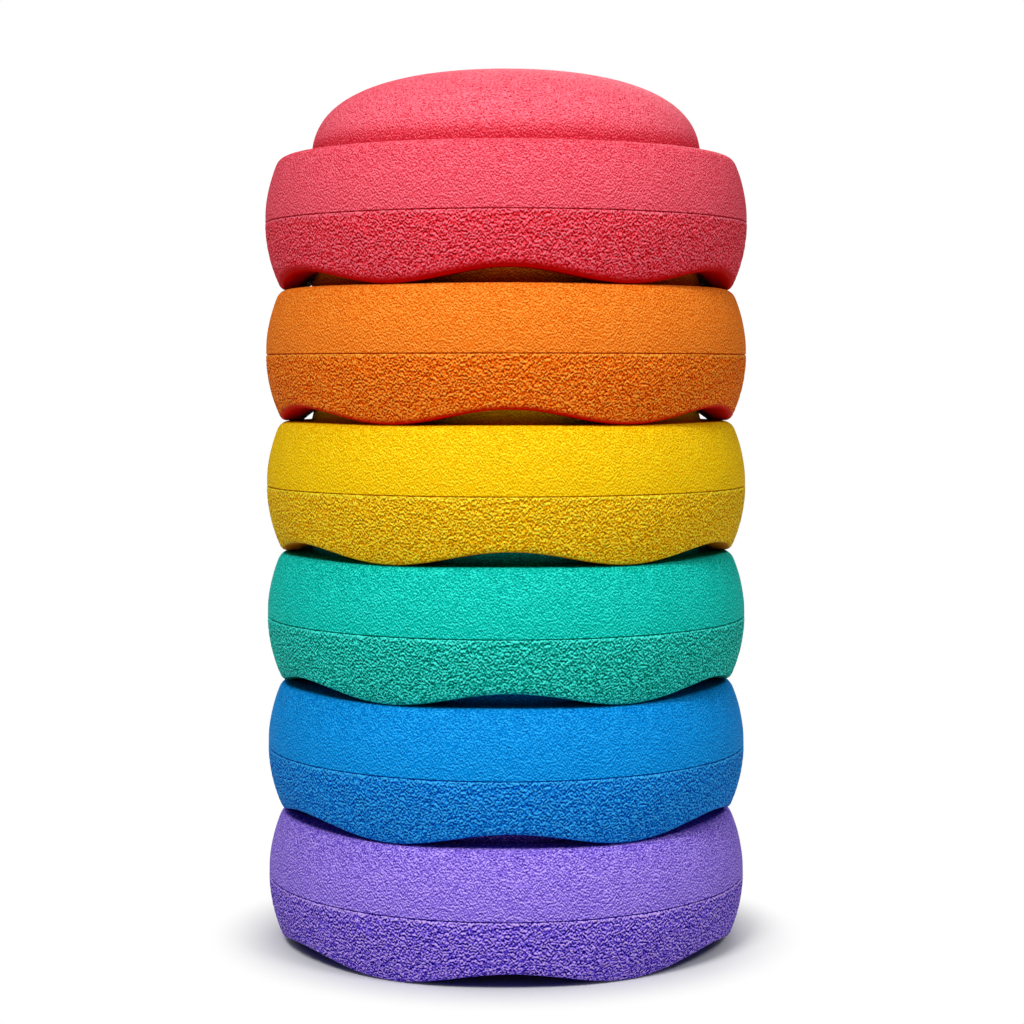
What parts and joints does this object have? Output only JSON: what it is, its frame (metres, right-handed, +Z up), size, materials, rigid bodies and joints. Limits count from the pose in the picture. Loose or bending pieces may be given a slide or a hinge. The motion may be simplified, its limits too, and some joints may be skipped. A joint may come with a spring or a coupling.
{
  "type": "stack of balance stepping stones",
  "caption": "Tower of rounded foam stepping stones, each with a domed top, a hollow underside and a wavy foot edge, that nest on one another and lift off.",
  "frame": {"origin": "centre of the bottom stone's foot plane, on the axis of the stack", "axes": "+Z up along the stack's axis; -Y towards the arch of the wavy foot edge that faces the viewer in the picture; +X to the viewer's right"},
  "size_m": [0.275, 0.275, 0.4952],
  "materials": {
    "foam_purple": "matte",
    "foam_blue": "matte",
    "foam_green": "matte",
    "foam_yellow": "matte",
    "foam_orange": "matte",
    "foam_red": "matte"
  },
  "bodies": {
    "purple_stone": {"stone_purple": "foam_purple"},
    "blue_stone": {"stone_blue": "foam_blue"},
    "green_stone": {"stone_green": "foam_green"},
    "yellow_stone": {"stone_yellow": "foam_yellow"},
    "orange_stone": {"stone_orange": "foam_orange"},
    "red_stone": {"stone_red": "foam_red"}
  },
  "joints": [
    {"name": "blue_lift", "type": "slide", "parent": "purple_stone", "child": "blue_stone", "axis": [0, 0, 1], "range_m": [0, 0.06]},
    {"name": "green_lift", "type": "slide", "parent": "blue_stone", "child": "green_stone", "axis": [0, 0, 1], "range_m": [0, 0.06]},
    {"name": "yellow_lift", "type": "slide", "parent": "green_stone", "child": "yellow_stone", "axis": [0, 0, 1], "range_m": [0, 0.06]},
    {"name": "orange_lift", "type": "slide", "parent": "yellow_stone", "child": "orange_stone", "axis": [0, 0, 1], "range_m": [0, 0.06]},
    {"name": "red_lift", "type": "slide", "parent": "orange_stone", "child": "red_stone", "axis": [0, 0, 1], "range_m": [0, 0.06]}
  ]
}
